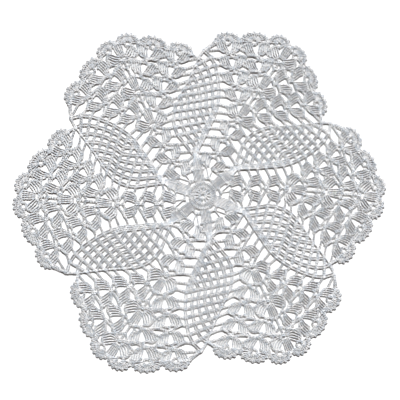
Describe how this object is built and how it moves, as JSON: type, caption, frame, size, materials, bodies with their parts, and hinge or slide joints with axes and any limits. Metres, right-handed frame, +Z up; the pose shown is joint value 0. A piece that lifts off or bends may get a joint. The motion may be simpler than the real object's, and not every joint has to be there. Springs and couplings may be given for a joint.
{
  "type": "crochet lace tablecloth",
  "caption": "Round openwork crochet tablecloth in pale cotton with net leaves, fans of shells and a scalloped picot edge, lying flat to cover a small table.",
  "frame": {"origin": "the ring in the middle of the cloth, on its underside", "axes": "+Z up from the table, +X towards one of the six corners, along the cloth's longest reach"},
  "size_m": [0.5939, 0.543, 0.0022],
  "materials": {
    "cotton": "matte mercerised cotton crochet thread, pale cool grey-white"
  },
  "bodies": {
    "root": {"crochet_cloth": "cotton"}
  },
  "joints": []
}
